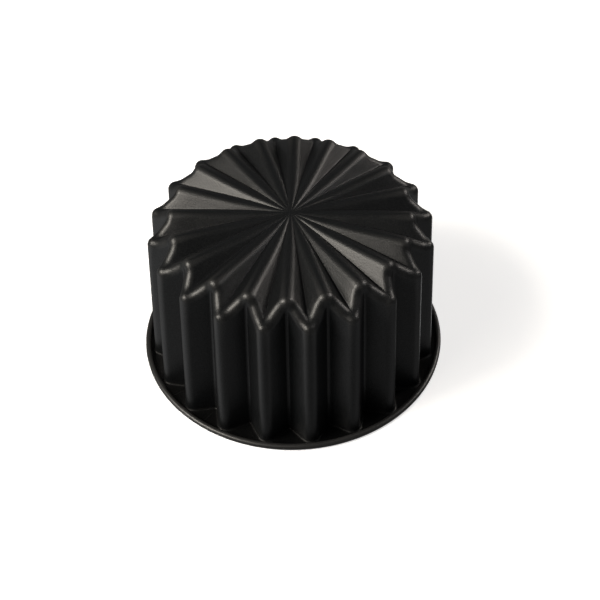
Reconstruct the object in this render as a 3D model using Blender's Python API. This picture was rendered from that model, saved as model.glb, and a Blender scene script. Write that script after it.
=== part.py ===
"""Fluted mini cake mould: a shell pressed from steel sheet, and the wire that its rim is rolled round.

The mould stands on its mouth, as it is turned out and stored. The origin is the middle of the mouth, on the
table, and +Z runs up to the pleated base. Lengths are in metres.
"""

from math import asin, atan2, ceil, cos, hypot, pi, radians, sin, sqrt, tan

import bmesh
import bpy
from mathutils import Matrix, Vector

# Sheet, wire and rolled rim
SHEET = 0.0005
WIRE_DIAMETER = 0.0010
WIRE_CLEARANCE = 0.0003
CURL_SLIT = 0.00035
FLANGE_WIDTH = 0.0040

# Flutes, measured on the outside where they meet the flange
FLUTES = 20
MOUTH_RADIUS = 0.0610
FLUTE_DEPTH = 0.0079
TIP_ROUND = 0.0035
NOTCH_ROUND = 0.0012
FOOT_ROUND = 0.0010
DRAFT = radians(1.75)

# Pleated base: its ridges lie level, and its valleys fall from the middle to where they meet the wall
HEIGHT = 0.0736
VALLEY_FALL = 0.0079
EDGE_ROUND = 0.0032

# Rounds of the pleats: a ridge's round grows from that of the middle to its full size within this radius
RIDGE_ROUND = 0.0038
MIDDLE_ROUND = 0.0008
FULL_ROUND_RADIUS = 0.0190
ROUND_GROWTH = 8
VALLEY_ROUND = 0.0009

# Rounds of calculation that bring the edge's ball to rest against base and wall: the steep wall needs few
EDGE_TRIES = 3

# Fineness of the faceted surface: where its columns lie on each stretch of half a flute, as shares from the
# notch to the tip, where its rings lie on the base, as shares of the way out, and steps in each round
NOTCH_COLUMNS = (0, 0.09, 0.5)
FLAT_COLUMNS = (0, 0.25, 0.6)
TIP_COLUMNS = (0, 0.5, 1)
BASE_RINGS = (0.15, 0.45)
EDGE_STEPS = 3
FOOT_STEPS = 1
RIM_SEGMENTS_PER_FLUTE = 4
CURL_STEP = radians(42)
WIRE_SIDES = 8

HALF_PITCH = pi / FLUTES
TAPER = tan(DRAFT)
RIM_RADIUS = MOUTH_RADIUS + FLANGE_WIDTH
RIM_SEGMENTS = RIM_SEGMENTS_PER_FLUTE * FLUTES
BEAD_RADIUS = WIRE_DIAMETER / 2 + WIRE_CLEARANCE + SHEET
CURL_RADIUS = RIM_RADIUS - BEAD_RADIUS
CURL_START = -pi / 2
CURL_END = pi + asin((BEAD_RADIUS - SHEET - CURL_SLIT) / BEAD_RADIUS)
UP = Vector((0, 0, 1))


def polar(radius, angle, height=0.0):
    return Vector((radius * cos(angle), radius * sin(angle), height))


def flute_columns():
    """Foot and level outward normal of each mesh column of half a flute, from the notch on +X to the tip."""
    notch = polar(MOUTH_RADIUS - FLUTE_DEPTH + NOTCH_ROUND, 0)
    tip = polar(MOUTH_RADIUS - TIP_ROUND, HALF_PITCH)
    along = tip - notch
    lean = asin((NOTCH_ROUND + TIP_ROUND) / along.length)
    flat = atan2(along.y, along.x) - pi / 2 - lean
    columns = []
    for share in NOTCH_COLUMNS:
        normal = polar(1, flat * share)
        columns.append((notch - NOTCH_ROUND * normal, normal))
    for share in FLAT_COLUMNS:
        normal = polar(1, flat)
        bend = share * (NOTCH_ROUND + TIP_ROUND) - NOTCH_ROUND
        columns.append((notch + share * along + bend * normal, normal))
    for share in TIP_COLUMNS:
        normal = polar(1, flat + (HALF_PITCH - flat) * share)
        columns.append((tip + TIP_ROUND * normal, normal))
    return columns


class Pleat:
    """Half a pleat of the base, from the level ridge over the notch down to the valley over the tip.

    A scale is how much longer a plumb line through a sloping sheet is than the sheet's thickness.
    """

    def __init__(self):
        tip_top = polar(MOUTH_RADIUS - TAPER * (HEIGHT - VALLEY_FALL), HALF_PITCH)
        ridge_round = self.ridge_round(tip_top)
        fall = VALLEY_FALL - ridge_round
        width = tip_top.y**2 - ridge_round**2
        self.side_slope = (fall * tip_top.y + ridge_round * sqrt(fall**2 + width)) / width
        self.side_scale = sqrt(1 + self.side_slope**2)
        self.valley_slope = self.side_slope * cos(HALF_PITCH)
        self.valley_scale = sqrt(self.side_scale**2 - self.valley_slope**2)

    def ridge_round(self, point):
        radius = point.xy.length
        growth = radius / (radius**ROUND_GROWTH + FULL_ROUND_RADIUS**ROUND_GROWTH) ** (1 / ROUND_GROWTH)
        return hypot(MIDDLE_ROUND, RIDGE_ROUND * growth)

    def surface(self, point, depth=0.0):
        """Height and normal of the base over a point, or of the surface that runs parallel at a depth.

        From the ridge down: a round, a flat side and the valley's round. Near the middle the ridges' rounds
        meet in a crease.
        """
        full_round = self.ridge_round(point)
        ridge_round = full_round - depth
        on_ridge = min(point.y, ridge_round * self.side_slope / self.side_scale)
        ridge_root = sqrt(ridge_round**2 - on_ridge**2)
        fall = full_round - ridge_root + self.side_slope * (point.y - on_ridge)
        half_pleat = point.xy.length * sin(HALF_PITCH)
        flat = max(half_pleat - full_round * self.side_slope / self.side_scale, 0)
        valley_round = VALLEY_ROUND * flat / half_pleat + depth
        from_valley = max(point.x * sin(HALF_PITCH) - point.y * cos(HALF_PITCH), 0)
        in_valley = min(from_valley, valley_round * self.valley_slope / self.side_scale)
        valley_root = sqrt(valley_round**2 - in_valley**2)
        lift = valley_round * self.side_scale - self.valley_scale * valley_root - self.valley_slope * in_valley
        rising = -self.valley_slope
        if in_valley:
            rising += self.valley_scale * in_valley / valley_root
        falling = on_ridge / ridge_root
        normal = Vector((-rising * sin(HALF_PITCH), falling + rising * cos(HALF_PITCH), 1))
        return HEIGHT - fall + lift, normal.normalized()


def body_profile(pleat, foot, level):
    """Outside of the shell down one column, from near the middle of the base to the flange.

    The base's edge is round as if a ball ran along inside it, and the wall's foot as if one ran outside.
    """
    away = foot.normalized()
    wall = (level + TAPER * level.dot(away) * UP).normalized()

    def on_wall(height):
        return foot + height * UP - TAPER * (height - SHEET) * away

    top = on_wall(HEIGHT - VALLEY_FALL)
    for _ in range(EDGE_TRIES):
        height, base = pleat.surface(top - EDGE_ROUND * wall, EDGE_ROUND)
        top = on_wall(height + EDGE_ROUND * wall.z)
    inside_edge = top - EDGE_ROUND * wall
    points = []
    for share in BASE_RINGS:
        point = share * (inside_edge + EDGE_ROUND * base)
        point.z = pleat.surface(point)[0]
        points.append(point)
    for i in range(EDGE_STEPS + 1):
        points.append(inside_edge + EDGE_ROUND * base.slerp(wall, i / EDGE_STEPS))
    over_foot = on_wall(SHEET + FOOT_ROUND * (1 - wall.z)) + FOOT_ROUND * wall
    for i in range(FOOT_STEPS + 1):
        points.append(over_foot - FOOT_ROUND * wall.slerp(UP, i / FOOT_STEPS))
    return points


def curl_profile():
    """Inside of the rolled rim, as radius and height, from the flange round the wire to the open edge."""
    radius = BEAD_RADIUS - SHEET
    steps = ceil((CURL_END - CURL_START) / CURL_STEP)
    angles = [CURL_START + CURL_STEP * i for i in range(steps)] + [CURL_END]
    return [(CURL_RADIUS + radius * cos(a), BEAD_RADIUS + radius * sin(a)) for a in angles]


def body_rings():
    """Rings of points from near the middle of the base to the flange, each all the way round."""
    pleat = Pleat()
    half_flute = [body_profile(pleat, foot, level) for foot, level in flute_columns()]
    rings = []
    for level in zip(*half_flute):
        mirrored = [Vector((point.x, -point.y, point.z)) for point in level[-2:0:-1]]
        ring = []
        for i in range(FLUTES):
            turn = Matrix.Rotation(2 * HALF_PITCH * i, 3, "Z")
            next_turn = Matrix.Rotation(2 * HALF_PITCH * (i + 1), 3, "Z")
            ring += [turn @ point for point in level] + [next_turn @ point for point in mirrored]
        rings.append(ring)
    return rings


def join_rings(bm, inner, outer):
    """Faces between two rings, the inner one with as many points or several times as many."""
    step = len(inner) // len(outer)
    for i in range(len(outer)):
        near = [inner[(i * step + k) % len(inner)] for k in range(step + 1)]
        far = [outer[i], outer[(i + 1) % len(outer)]]
        if step == 1:
            bm.faces.new((near[0], far[0], far[1], near[1]))
            continue
        middle = step // 2
        for k in range(step):
            bm.faces.new((near[k], far[0] if k < middle else far[1], near[k + 1]))
        bm.faces.new((near[middle], far[0], far[1]))


def material(name, colour, metallic, roughness):
    result = bpy.data.materials.new(name)
    result.use_nodes = True
    shader = result.node_tree.nodes["Principled BSDF"]
    shader.inputs["Base Color"].default_value = (*colour, 1)
    shader.inputs["Metallic"].default_value = metallic
    shader.inputs["Roughness"].default_value = roughness
    return result


def shell_surface():
    """Outside of the pressed sheet as one open surface, from the base's middle to the curl's open edge."""
    bm = bmesh.new()
    rings = [[bm.verts.new(point) for point in ring] for ring in body_rings()]
    for radius, height in curl_profile():
        turns = [2 * pi * i / RIM_SEGMENTS for i in range(RIM_SEGMENTS)]
        rings.append([bm.verts.new(polar(radius, turn, height)) for turn in turns])
    for inner, outer in zip(rings, rings[1:]):
        join_rings(bm, inner, outer)
    middle = bm.verts.new((0, 0, HEIGHT))
    for a, b in zip(rings[0], rings[0][1:] + rings[0][:1]):
        bm.faces.new((middle, a, b))
    mesh = bpy.data.meshes.new("mould_shell")
    bm.to_mesh(mesh)
    bm.free()
    return mesh


def make_shell(mesh):
    """Pressed sheet: pleated base, fluted wall, flange and open curl, thickened inward."""
    shell = bpy.data.objects.new("mould_shell", mesh)
    bpy.context.scene.collection.objects.link(shell)
    mesh.materials.append(material("nonstick_coating", (0.018, 0.018, 0.019), 0.0, 0.42))
    mesh.shade_smooth()
    mesh.set_sharp_from_angle(angle=radians(35))
    sheet = shell.modifiers.new("sheet", "SOLIDIFY")
    sheet.thickness = SHEET
    sheet.offset = -1
    sheet.use_even_offset = True
    sheet.use_quality_normals = True


def make_wire():
    """Ring of round wire that the rim is rolled over, clear of the sheet all round."""
    bpy.ops.mesh.primitive_torus_add(
        major_segments=RIM_SEGMENTS,
        minor_segments=WIRE_SIDES,
        major_radius=CURL_RADIUS,
        minor_radius=WIRE_DIAMETER / 2,
        location=(0, 0, BEAD_RADIUS),
    )
    wire = bpy.context.object
    wire.name = "rim_wire"
    wire.data.materials.append(material("drawn_steel", (0.45, 0.45, 0.46), 1.0, 0.35))
    wire.data.shade_smooth()


for old in list(bpy.data.objects):
    bpy.data.objects.remove(old)
make_shell(shell_surface())
make_wire()
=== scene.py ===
"""Looks of a fluted mini cake mould: its pressed shell, the coating on it, the rim wire and the studio.

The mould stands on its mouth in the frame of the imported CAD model. Lengths are in metres, +Z is up.
"""

from math import asin, cos, pi, radians, sin, tan
from types import SimpleNamespace

import bpy
from mathutils import Matrix, Vector


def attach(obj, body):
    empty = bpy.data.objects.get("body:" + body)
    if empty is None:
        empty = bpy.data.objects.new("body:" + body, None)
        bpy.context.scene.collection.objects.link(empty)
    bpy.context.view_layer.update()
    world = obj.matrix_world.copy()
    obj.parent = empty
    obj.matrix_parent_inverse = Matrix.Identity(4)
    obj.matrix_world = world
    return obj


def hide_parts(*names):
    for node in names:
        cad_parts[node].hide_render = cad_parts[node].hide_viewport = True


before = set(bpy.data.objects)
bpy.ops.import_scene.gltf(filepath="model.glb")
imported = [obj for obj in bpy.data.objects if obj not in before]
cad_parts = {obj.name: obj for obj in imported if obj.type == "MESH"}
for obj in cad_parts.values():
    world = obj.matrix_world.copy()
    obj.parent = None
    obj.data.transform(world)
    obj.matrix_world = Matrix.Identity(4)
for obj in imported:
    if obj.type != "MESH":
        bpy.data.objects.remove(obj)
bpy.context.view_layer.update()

# Sizes of the shell's outside, which are the inputs of its node tree
SHEET = 0.0005
BEAD_RADIUS = 0.0013
CURL_SLIT = 0.00035
SHELL_SIZES = {
    "flutes": 20,
    "mouth_radius": 0.0610,
    "flute_depth": 0.0079,
    "tip_round": 0.0035,
    "notch_round": 0.0012,
    "foot_round": 0.0010,
    "taper": tan(radians(1.75)),
    "height": 0.0736,
    "valley_fall": 0.0079,
    "ridge_round": 0.0038,
    "middle_round": 0.0008,
    "full_round_radius": 0.0190,
    "round_growth": 8,
    "valley_round": 0.0009,
    "edge_round": 0.0032,
    "flange_width": 0.0040,
    "bead_radius": BEAD_RADIUS,
    "curl_turn": 1.5 * pi + asin((BEAD_RADIUS - SHEET - CURL_SLIT) / BEAD_RADIUS),
    "sheet": SHEET,
}

# Columns of faces in half a flute, the shares of them where the notch's round ends and the tip's begins, and
# how closely they crowd towards the middle of either round
HALF_FLUTE_COLUMNS = 28
NOTCH_SHARE = 12 / HALF_FLUTE_COLUMNS
TIP_SHARE = 20 / HALF_FLUTE_COLUMNS
NOTCH_CROWDING = 2.0
TIP_CROWDING = 1.6

# Rows of faces in each patch of the shell, from the middle of the base to the curl's open edge, and how
# closely those of the base crowd towards its middle
BASE_ROWS = 13
EDGE_ROWS = 8
WALL_ROWS = 4
FOOT_ROWS = 4
FLANGE_ROWS = 1
CURL_ROWS = 12
BASE_CROWDING = 1.4

# Rounds of calculation that bring the edge's ball to rest against base and wall
EDGE_TRIES = 3

# Widest gap that is closed between two patches, and the angle past which an edge of the mesh is sharp
SEAM_WIDTH = 1e-6
SHARP_ANGLE = radians(40)

# Coating, as drawn: the width and the height of its grain, and the width of its clouds
GRAIN_WIDTH = 0.0005
GRAIN_HEIGHT = 0.0001
CLOUD_WIDTH = 0.0167

# Where the edges' gloss and painted highlight, and the painted shade and roughness in the feet and on the
# flange, change
# # from none to all. Bulge and hollow are measured on a scale on which 0.5 is flat
EDGE_GLOSS_AND_HIGHLIGHT_BULGE = (0.51, 0.545)
ROUGH_SHADED_HOLLOW = (0.495, 0.47)
FEET_HEIGHT = (0.006, 0.002)
FLANGE_HEIGHT = (0.0008, 0.0006)

# Lines along the wire, as drawn: the space between them, their depth, and how many there are in a radian
LINE_SPACE = 0.0001
LINE_DEPTH = 0.00002
LINES_PER_RADIAN = 4.0

# Camera, from the photograph's perspective
EYE = Vector((0.02062, -0.43651, 0.47262))
CAMERA_TURN = radians(2.284)
CAMERA_FALL = radians(45.855)
CAMERA_ROLL = radians(-0.965)
LENS = 87.176
SENSOR = 36.0
CLIP_START = 0.01

# Floor: half its width, and the light that comes up through it
FLOOR_REACH = 3.0
FLOOR_GLOW = 0.6

# Soft lights: how far away they stand, and the point that they face
LIGHT_DISTANCE = 3.0
LIGHT_TARGET = Vector((0, 0, 0.04))

# Dim light of the room, and glows in it: azimuth, elevation, tightness and strength. The last one is the
# bright table behind the mould, which the flutes reflect as a thin line where they turn away on the right
ROOM_LIGHT = 0.07
GLOWS = (
    (-165, -30, 8, 0.60),
    (-120, -30, 8, 0.17),
    (-75, -30, 8, 0.06),
    (-30, -30, 8, 0.22),
    (150, -30, 8, 0.16),
    (72, -42, 40, 2.0),
)


class Term:
    """A value that flows through a node tree. Sums, products and the like of terms add its maths nodes."""

    def __init__(self, tree, socket):
        self.tree = tree
        self.socket = socket

    def __add__(self, other):
        return add(self.tree, "ADD", (self, other))

    def __radd__(self, other):
        return add(self.tree, "ADD", (other, self))

    def __sub__(self, other):
        return add(self.tree, "SUBTRACT", (self, other))

    def __rsub__(self, other):
        return add(self.tree, "SUBTRACT", (other, self))

    def __mul__(self, other):
        return add(self.tree, "MULTIPLY", (self, other))

    def __rmul__(self, other):
        return add(self.tree, "MULTIPLY", (other, self))

    def __truediv__(self, other):
        return add(self.tree, "DIVIDE", (self, other))

    def __rtruediv__(self, other):
        return add(self.tree, "DIVIDE", (other, self))

    def __pow__(self, other):
        return add(self.tree, "POWER", (self, other))

    def out(self, name):
        """Another output of the same node."""
        return Term(self.tree, self.socket.node.outputs[name])


def is_vector(value):
    return isinstance(value, Term) and value.socket.type == "VECTOR"


def add(tree, kind, inputs=(), **settings):
    """Adds a node, or the maths node of an operation, with its settings and links.

    Returns its first output, or the node itself where it has none.
    """
    links = dict(inputs) if isinstance(inputs, dict) else dict(enumerate(inputs))
    if kind.isupper():
        settings["operation"] = kind
        kind = "ShaderNodeMath"
        if any(is_vector(value) for value in links.values()):
            kind = "ShaderNodeVectorMath"
    node = tree.nodes.new(kind)
    for name, value in settings.items():
        setattr(node, name, value)
    for place, value in links.items():
        socket = node.inputs[place]
        if isinstance(value, Term):
            tree.links.new(value.socket, socket)
        elif socket.type == "VECTOR" and isinstance(value, (int, float)):
            socket.default_value = (value, value, value)
        else:
            socket.default_value = value
    live = [output for output in node.outputs if output.enabled]
    return Term(tree, live[0]) if live else node


class ShellTree:
    """Node tree of the pressed shell's outside.

    Each patch of it is a grid. The grid's X tells the way round and its Y the way down, and a formula puts
    its points in place: first in half a flute, as (along its ridge, aside, up), and from there all round.
    """

    def __init__(self, material):
        self.tree = bpy.data.node_groups.new("pressed_shell", "GeometryNodeTree")
        self.tree.interface.new_socket("Shell", in_out="OUTPUT", socket_type="NodeSocketGeometry")
        for name in SHELL_SIZES:
            self.tree.interface.new_socket(name, in_out="INPUT", socket_type="NodeSocketFloat")
        sizes = add(self.tree, "NodeGroupInput")
        self.size = SimpleNamespace(**{name: sizes.out(name) for name in SHELL_SIZES})
        self.half_pitch = pi / self.size.flutes
        self.lay_columns()
        self.lay_pleat()
        self.finish(self.patches(), material)

    def op(self, operation, *values):
        return add(self.tree, operation, values)

    def point(self, along, aside, up):
        return add(self.tree, "ShaderNodeCombineXYZ", (along, aside, up))

    def parts(self, point):
        """Along, aside and up of a point."""
        split = add(self.tree, "ShaderNodeSeparateXYZ", (point,))
        return split, split.out("Y"), split.out("Z")

    def lay_columns(self):
        """Foot on the flange and outward normal of each column in its half flute."""
        size = self.size
        grid = add(self.tree, "ShaderNodeSeparateXYZ", (add(self.tree, "GeometryNodeInputPosition"),))
        self.down = grid.out("Y") + 0.5
        turn = (grid + 0.5) * (2 * size.flutes)
        notch = 2 * self.op("ROUND", turn / 2)
        self.notch_angle = notch * self.half_pitch
        self.side = self.point(1.0, self.op("SIGN", turn - notch), 1.0)
        share = self.op("PINGPONG", turn, 1)
        in_notch = add(self.tree, "ShaderNodeMapRange", (share, 0, NOTCH_SHARE, 0, 1)) ** NOTCH_CROWDING
        on_flat = add(self.tree, "ShaderNodeMapRange", (share, NOTCH_SHARE, TIP_SHARE, 0, 1))
        to_tip = add(self.tree, "ShaderNodeMapRange", (share, TIP_SHARE, 1, 1, 0)) ** TIP_CROWDING
        notch_x = size.mouth_radius - size.flute_depth + size.notch_round
        tip_x = (size.mouth_radius - size.tip_round) * self.op("COSINE", self.half_pitch)
        tip_y = (size.mouth_radius - size.tip_round) * self.op("SINE", self.half_pitch)
        span = tip_x - notch_x
        lean = self.op("ARCSINE", (size.notch_round + size.tip_round) / (span**2 + tip_y**2) ** 0.5)
        flat = self.op("ARCTAN2", tip_y, span) - pi / 2 - lean
        normal = flat * in_notch + (self.half_pitch - flat) * (1 - to_tip)
        bend = on_flat * (size.notch_round + size.tip_round) - size.notch_round
        level = self.point(self.op("COSINE", normal), self.op("SINE", normal), 0.0)
        foot = self.point(notch_x + on_flat * span, on_flat * tip_y, 0.0) + level * bend
        self.away = self.op("NORMALIZE", foot)
        self.foot = foot + self.point(0.0, 0.0, size.sheet)
        self.wall_normal = self.point(0.0, 0.0, size.taper * self.op("DOT_PRODUCT", level, self.away))
        self.wall_normal = self.op("NORMALIZE", level + self.wall_normal)

    def lay_pleat(self):
        """Slopes of half a pleat of the base: down its side, and across its valley.

        A scale is how much longer a plumb line through a sloping sheet is than the sheet's thickness.
        """
        size = self.size
        self.half_sine = self.op("SINE", self.half_pitch)
        self.half_cosine = self.op("COSINE", self.half_pitch)
        tip_top = size.mouth_radius - size.taper * (size.height - size.valley_fall)
        aside = tip_top * self.half_sine
        ridge_round = self.ridge_round(tip_top)
        fall = size.valley_fall - ridge_round
        width = aside**2 - ridge_round**2
        self.slope = (fall * aside + ridge_round * (fall**2 + width) ** 0.5) / width
        self.side_scale = (1 + self.slope**2) ** 0.5
        self.valley_slope = self.slope * self.half_cosine
        self.valley_scale = (1 + (self.slope * self.half_sine) ** 2) ** 0.5

    def ridge_round(self, radius):
        """Radius of a ridge's round, which grows from that of the middle to its full size."""
        size = self.size
        power = size.round_growth
        reach = (radius**power + size.full_round_radius**power) ** (1 / power)
        return (size.middle_round**2 + (size.ridge_round * radius / reach) ** 2) ** 0.5

    def base(self, point, depth=0.0):
        """Height and normal of the pleated base, or of the surface that runs parallel to it at a depth.

        From the ridge down: a round, a flat side and the valley's round. Near the middle the ridges' rounds
        meet in a crease.
        """
        size = self.size
        along, aside, _ = self.parts(point)
        radius = (along**2 + aside**2) ** 0.5
        full_round = self.ridge_round(radius)
        ridge_round = full_round - depth
        on_ridge = self.op("MINIMUM", aside, ridge_round * self.slope / self.side_scale)
        ridge_root = (ridge_round**2 - on_ridge**2) ** 0.5
        fall = full_round - ridge_root + self.slope * (aside - on_ridge)
        half_pleat = radius * self.half_sine
        flat = self.op("MAXIMUM", half_pleat - full_round * self.slope / self.side_scale, 0.0)
        valley_round = size.valley_round * flat / half_pleat + depth
        from_valley = self.op("MAXIMUM", along * self.half_sine - aside * self.half_cosine, 0.0)
        in_valley = self.op("MINIMUM", from_valley, valley_round * self.valley_slope / self.side_scale)
        valley_root = (valley_round**2 - in_valley**2) ** 0.5
        lift = valley_round * self.side_scale - self.valley_scale * valley_root
        lift = lift - self.valley_slope * in_valley
        rising = self.valley_scale * in_valley / valley_root - self.valley_slope
        falling = on_ridge / ridge_root
        normal = self.point(-1 * rising * self.half_sine, falling + rising * self.half_cosine, 1.0)
        return size.height - fall + lift, self.op("NORMALIZE", normal)

    def arc(self, start, end):
        """Unit vector at the patch's way down of an arc from one normal to another."""
        turn = self.op("ARCCOSINE", self.op("DOT_PRODUCT", start, end))
        from_start = start * self.op("SINE", turn * (1 - self.down))
        return (from_start + end * self.op("SINE", turn * self.down)) / self.op("SINE", turn)

    def on_wall(self, height):
        """Each column's point at a height on the wall, which leans in by its taper."""
        rise = height - self.size.sheet
        return self.foot - self.away * (self.size.taper * rise) + self.point(0.0, 0.0, rise)

    def patch(self, rows, point):
        """A grid from edge to edge of one part of the shell, all the way round."""
        columns = self.size.flutes * (2 * HALF_FLUTE_COLUMNS) + 1
        grid = add(self.tree, "GeometryNodeMeshGrid", (1.0, 1.0, columns, rows + 1))
        turned = {"Vector": point * self.side, "Angle": self.notch_angle}
        place = add(self.tree, "ShaderNodeVectorRotate", turned, rotation_type="Z_AXIS")
        return add(self.tree, "GeometryNodeSetPosition", {"Geometry": grid, "Position": place})

    def edge(self):
        """Edge of the base, round as if a ball ran along inside it.

        Returns its start, its face and its end.
        """
        size = self.size
        _, _, lean = self.parts(self.wall_normal)
        wall_end = self.on_wall(size.height - size.valley_fall)
        for _ in range(EDGE_TRIES):
            centre = wall_end - self.wall_normal * size.edge_round
            height, base_normal = self.base(centre, size.edge_round)
            wall_end = self.on_wall(height + size.edge_round * lean)
        centre = wall_end - self.wall_normal * size.edge_round
        along, aside, up = self.parts(centre + base_normal * size.edge_round)
        height, _ = self.base(self.point(along, aside, up))
        settle = self.point(0.0, 0.0, (height - up) * (1 - self.down))
        face = centre + self.arc(base_normal, self.wall_normal) * size.edge_round + settle
        return self.point(along, aside, height), face, wall_end

    def foot_fillet(self):
        """Round hollow where the wall meets the flange, as its start, its face and its end."""
        size = self.size
        up = self.point(0.0, 0.0, 1.0)
        _, _, lean = self.parts(self.wall_normal)
        start = self.on_wall(size.sheet + size.foot_round * (1 - lean))
        centre = start + self.wall_normal * size.foot_round
        face = centre - self.arc(self.wall_normal, up) * size.foot_round
        return start, face, centre - up * size.foot_round

    def patches(self):
        """The shell's parts from the middle of the base to the curl's open edge.

        The wall's rows crowd towards its top and its foot, where it bends.
        """
        size = self.size
        base_end, edge, wall_start = self.edge()
        wall_end, fillet, flange_start = self.foot_fillet()
        on_base = base_end * self.down**BASE_CROWDING
        down_wall = self.down**2 * (3 - 2 * self.down)
        along, aside, _ = self.parts(on_base)
        curl_radius = size.mouth_radius + size.flange_width - size.bead_radius
        flange_end = self.away * curl_radius + self.point(0.0, 0.0, size.sheet)
        angle = self.down * size.curl_turn - pi / 2
        inside = size.bead_radius - size.sheet
        curl = self.away * (curl_radius + inside * self.op("COSINE", angle))
        curl += self.point(0.0, 0.0, size.bead_radius + inside * self.op("SINE", angle))
        return (
            self.patch(BASE_ROWS, self.point(along, aside, self.base(on_base)[0])),
            self.patch(EDGE_ROWS, edge),
            self.patch(WALL_ROWS, wall_start + (wall_end - wall_start) * down_wall),
            self.patch(FOOT_ROWS, fillet),
            self.patch(FLANGE_ROWS, flange_start + (flange_end - flange_start) * self.down),
            self.patch(CURL_ROWS, curl),
        )

    def finish(self, patches, material):
        """Joins the patches into one surface that faces outwards, smooth and coated."""
        joined = add(self.tree, "GeometryNodeJoinGeometry")
        for patch in patches:
            self.tree.links.new(patch.socket, joined.socket.node.inputs[0])
        merged = add(self.tree, "GeometryNodeMergeByDistance", {"Geometry": joined, "Distance": SEAM_WIDTH})
        outward = add(self.tree, "GeometryNodeFlipFaces", {"Mesh": merged})
        smooth = add(self.tree, "GeometryNodeSetShadeSmooth", {"Geometry": outward})
        real = add(self.tree, "GeometryNodeRealizeInstances", {"Geometry": smooth})
        coated = add(self.tree, "GeometryNodeSetMaterial", {"Geometry": real, "Material": material})
        result = self.tree.nodes.new("NodeGroupOutput")
        self.tree.links.new(coated.socket, result.inputs["Shell"])


def make_shell(material):
    """Pressed shell: its outside from the node tree, thickened inward by the sheet."""
    shell = bpy.data.objects.new("pressed_shell", bpy.data.meshes.new("pressed_shell"))
    bpy.context.scene.collection.objects.link(shell)
    outside = shell.modifiers.new("outside", "NODES")
    outside.node_group = ShellTree(material).tree
    for item in outside.node_group.interface.items_tree:
        if item.in_out == "INPUT":
            outside[item.identifier] = float(SHELL_SIZES[item.name])
    sheet = shell.modifiers.new("sheet", "SOLIDIFY")
    sheet.thickness = SHEET
    sheet.offset = -1
    sheet.use_even_offset = True
    sheet.use_quality_normals = True
    view = bpy.context.evaluated_depsgraph_get()
    mesh = bpy.data.meshes.new_from_object(shell.evaluated_get(view))
    shell.modifiers.clear()
    shell.data = mesh
    mesh.set_sharp_from_angle(angle=SHARP_ANGLE)
    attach(shell, "root")
    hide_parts("mould_shell")


def linear(hex_colour):
    """An sRGB hex colour as linear red, green, blue and alpha."""
    shares = [int(hex_colour[i : i + 2], 16) / 255 for i in (1, 3, 5)]
    return (*[s / 12.92 if s <= 0.04045 else ((s + 0.055) / 1.055) ** 2.4 for s in shares], 1.0)


def new_material(name):
    material = bpy.data.materials.new(name)
    material.use_nodes = True
    return material


def dress(tree, looks):
    """Gives a material's shader its patterns, and its values that are the same all over."""
    shader = tree.nodes["Principled BSDF"]
    for name, value in looks.items():
        if isinstance(value, Term):
            tree.links.new(value.socket, shader.inputs[name])
        else:
            shader.inputs[name].default_value = value


def painted_light_and_gloss_masks(tree, place):
    """Where edges get gloss and a painted highlight, and where the feet of the flutes and the flange get
    painted shade and their own roughness.
    """
    bulge = add(tree, "ShaderNodeNewGeometry").out("Pointiness")
    height = add(tree, "ShaderNodeSeparateXYZ", (place,)).out("Z")
    # Convex edges get more gloss, and lighter grey is painted on them as a painted highlight
    edge_gloss_and_highlight = add(tree, "ShaderNodeMapRange", (bulge, *EDGE_GLOSS_AND_HIGHLIGHT_BULGE, 0.0, 1.0))
    hollow = add(tree, "ShaderNodeMapRange", (bulge, *ROUGH_SHADED_HOLLOW, 0.0, 1.0))
    # Painted shade goes on hollows low on the wall and on the flange
    low = add(tree, "ShaderNodeMapRange", (height, *FEET_HEIGHT, 0.0, 1.0))
    flange = add(tree, "ShaderNodeMapRange", (height, *FLANGE_HEIGHT, 0.0, 1.0))
    return edge_gloss_and_highlight, low * hollow, flange


def nonstick_coating():
    """Non-stick coating, sprayed on the pressed steel and baked.

    It is near black and satin. The spray dries to a fine grain, which breaks up the highlights. Ridges and
    edges are a little glossier, and lighter grey is painted on them as a painted highlight, so they show as
    light lines. At the feet of the flutes it is rougher and on the flange smoother, and on both near black
    is painted as painted shade. Passes of the spray gun leave clouds of tone some 17 mm across. The real
    grain
    is about 0.1 mm across: it is drawn some five times as coarse, so that it shows.
    """
    material = new_material("sprayed_nonstick")
    tree = material.node_tree
    place = add(tree, "ShaderNodeTexCoord").out("Object")
    grain = add(tree, "ShaderNodeTexNoise", {"Vector": place, "Scale": 1 / GRAIN_WIDTH, "Detail": 3.0})
    cloud = add(tree, "ShaderNodeTexNoise", {"Vector": place, "Scale": 1 / CLOUD_WIDTH, "Detail": 3.0})
    edge_gloss_and_highlight, foot, flange = painted_light_and_gloss_masks(tree, place)
    tone = 0.6 * grain + 0.4 * cloud
    painted_shade = add(tree, "MAXIMUM", (foot, flange))
    colour = linear("#0b0c0d")
    # The tone mixes in first. Lighter grey on the edges is then a painted highlight, and near black in the
    # feet of the flutes and on the flange is painted shade
    for share, shade in ((tone, "#16181a"), (0.5 * edge_gloss_and_highlight, "#3c3b3a"), (0.8 * painted_shade, "#050505")):
        colour = add(tree, "ShaderNodeMix", {0: share, 6: colour, 7: linear(shade)}, data_type="RGBA")
    looks = {
        "Base Color": colour,
        "Roughness": 0.38 + 0.16 * (grain - 0.5) + 0.05 * (cloud - 0.5) + 0.2 * foot - 0.14 * flange,
        "Specular IOR Level": 0.5 + 0.6 * (grain - 0.5) + 0.4 * edge_gloss_and_highlight - 0.3 * foot,
        "Normal": add(tree, "ShaderNodeBump", {"Height": grain, "Strength": 0.8, "Distance": GRAIN_HEIGHT}),
        "IOR": 1.42,
    }
    dress(tree, looks)
    return material


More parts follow.
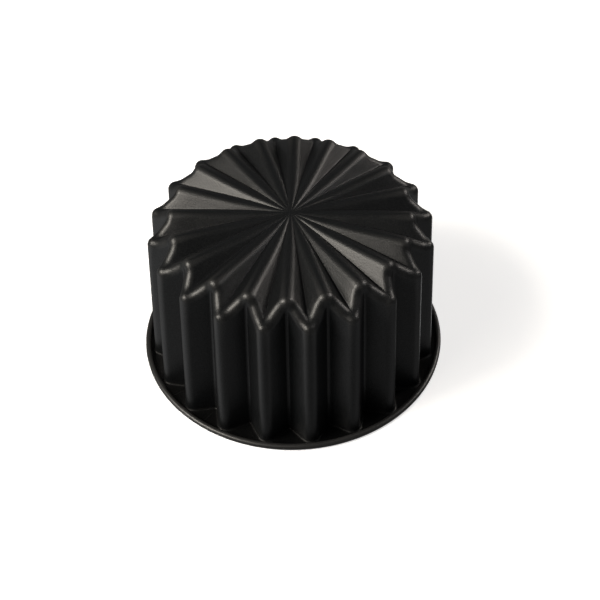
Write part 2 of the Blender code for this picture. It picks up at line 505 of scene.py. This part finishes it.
def drawn_steel():
    """Bare steel wire, pulled through a die: grey and half glossy, with fine lines along it.

    The lines are some 0.02 mm apart. They are drawn at 0.1 mm, so that they show.
    """
    material = new_material("drawn_steel")
    tree = material.node_tree
    across = add(tree, "ShaderNodeSeparateXYZ", (add(tree, "ShaderNodeTexCoord").out("Object"),))
    y = across.out("Y")
    from_axis = (across**2 + y**2) ** 0.5
    place = (
        LINES_PER_RADIAN * add(tree, "ARCTAN2", (y, across)),
        from_axis / LINE_SPACE,
        across.out("Z") / LINE_SPACE,
    )
    place = add(tree, "ShaderNodeCombineXYZ", place)
    lines = add(tree, "ShaderNodeTexNoise", {"Vector": place, "Scale": 1.0, "Detail": 2.0})
    tint = {0: lines, 6: linear("#8f8e8c"), 7: linear("#b9b7b4")}
    looks = {
        "Base Color": add(tree, "ShaderNodeMix", tint, data_type="RGBA"),
        "Metallic": 1.0,
        "Roughness": 0.30 + 0.14 * (lines - 0.5),
        "Normal": add(tree, "ShaderNodeBump", {"Height": lines, "Strength": 0.15, "Distance": LINE_DEPTH}),
    }
    dress(tree, looks)
    return material


def direction(azimuth, elevation):
    """Unit vector that way: azimuth in degrees from +X towards +Y, elevation above the floor."""
    a = radians(azimuth)
    e = radians(elevation)
    return Vector((cos(e) * cos(a), cos(e) * sin(a), sin(e)))


def softbox(name, azimuth, elevation, sides, power, colour):
    """Soft light that faces the mould, with its azimuth and elevation in degrees and its power in watts."""
    lamp = bpy.data.lights.new(name, "AREA")
    lamp.shape = "RECTANGLE"
    lamp.size, lamp.size_y = sides
    lamp.energy = power
    lamp.color = linear(colour)[:3]
    light = bpy.data.objects.new(name, lamp)
    bpy.context.scene.collection.objects.link(light)
    way = direction(azimuth, elevation)
    light.location = LIGHT_TARGET + way * LIGHT_DISTANCE
    light.rotation_mode = "QUATERNION"
    light.rotation_quaternion = way.to_track_quat("Z", "Y")


def make_world():
    """White behind the mould, and for its reflections a dim room with a few soft glows."""
    world = bpy.data.worlds.new("studio")
    bpy.context.scene.world = world
    world.use_nodes = True
    tree = world.node_tree
    tree.nodes.clear()
    way = add(tree, "ShaderNodeTexCoord").out("Generated")
    light = ROOM_LIGHT
    for azimuth, elevation, tightness, strength in GLOWS:
        toward = add(tree, "DOT_PRODUCT", (way, direction(azimuth, elevation)))
        light = light + strength * add(tree, "MAXIMUM", (toward, 0.0)) ** tightness
    room = add(tree, "ShaderNodeBackground", (linear("#ffffff"), light))
    white = add(tree, "ShaderNodeBackground", (linear("#ffffff"), 1.0))
    seen = add(tree, "ShaderNodeLightPath").out("Is Camera Ray")
    mixed = add(tree, "ShaderNodeMixShader", (seen, room, white))
    add(tree, "ShaderNodeOutputWorld", (mixed,))


def make_floor():
    """White sweep, lit from below as on a light table, so that only a soft shadow shows on it."""
    mesh = bpy.data.meshes.new("floor")
    corners = [(FLOOR_REACH * x, FLOOR_REACH * y, 0) for x, y in ((-1, -1), (1, -1), (1, 1), (-1, 1))]
    mesh.from_pydata(corners, [], [(0, 1, 2, 3)])
    floor = bpy.data.objects.new("floor", mesh)
    bpy.context.scene.collection.objects.link(floor)
    floor.visible_glossy = False
    floor.visible_diffuse = False
    material = new_material("white_sweep")
    looks = {
        "Base Color": linear("#f4f4f4"),
        "Roughness": 0.9,
        "Emission Color": linear("#ffffff"),
        "Emission Strength": FLOOR_GLOW,
    }
    dress(material.node_tree, looks)
    mesh.materials.append(material)


def make_camera():
    """Camera where the photograph's perspective puts it."""
    lens = bpy.data.cameras.new("camera")
    lens.lens = LENS
    lens.sensor_width = SENSOR
    lens.clip_start = CLIP_START
    camera = bpy.data.objects.new("camera", lens)
    bpy.context.scene.collection.objects.link(camera)
    turn = Matrix.Rotation(CAMERA_TURN, 4, "Z") @ Matrix.Rotation(pi / 2 - CAMERA_FALL, 4, "X")
    camera.matrix_world = Matrix.Translation(EYE) @ turn @ Matrix.Rotation(CAMERA_ROLL, 4, "Z")
    bpy.context.scene.camera = camera


make_shell(nonstick_coating())
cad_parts["rim_wire"].material_slots[0].material = drawn_steel()
make_camera()
make_world()
make_floor()
softbox("key", -161, 41, (1.1, 1.1), 74, "#fff8ec")
softbox("key_halo", -162, 40, (2.7, 2.1), 22, "#fffaf2")
softbox("side", -138, 38, (0.9, 0.9), 10, "#fff4ea")
softbox("back", 32, 31, (0.5, 1.0), 25, "#fff6ee")
softbox("back_low", 56, 10, (0.6, 0.3), 2.6, "#fff8f0")
softbox("back_fill", 12, 38, (0.6, 0.6), 5.0, "#ffffff")
bpy.context.scene.view_settings.view_transform = "Standard"
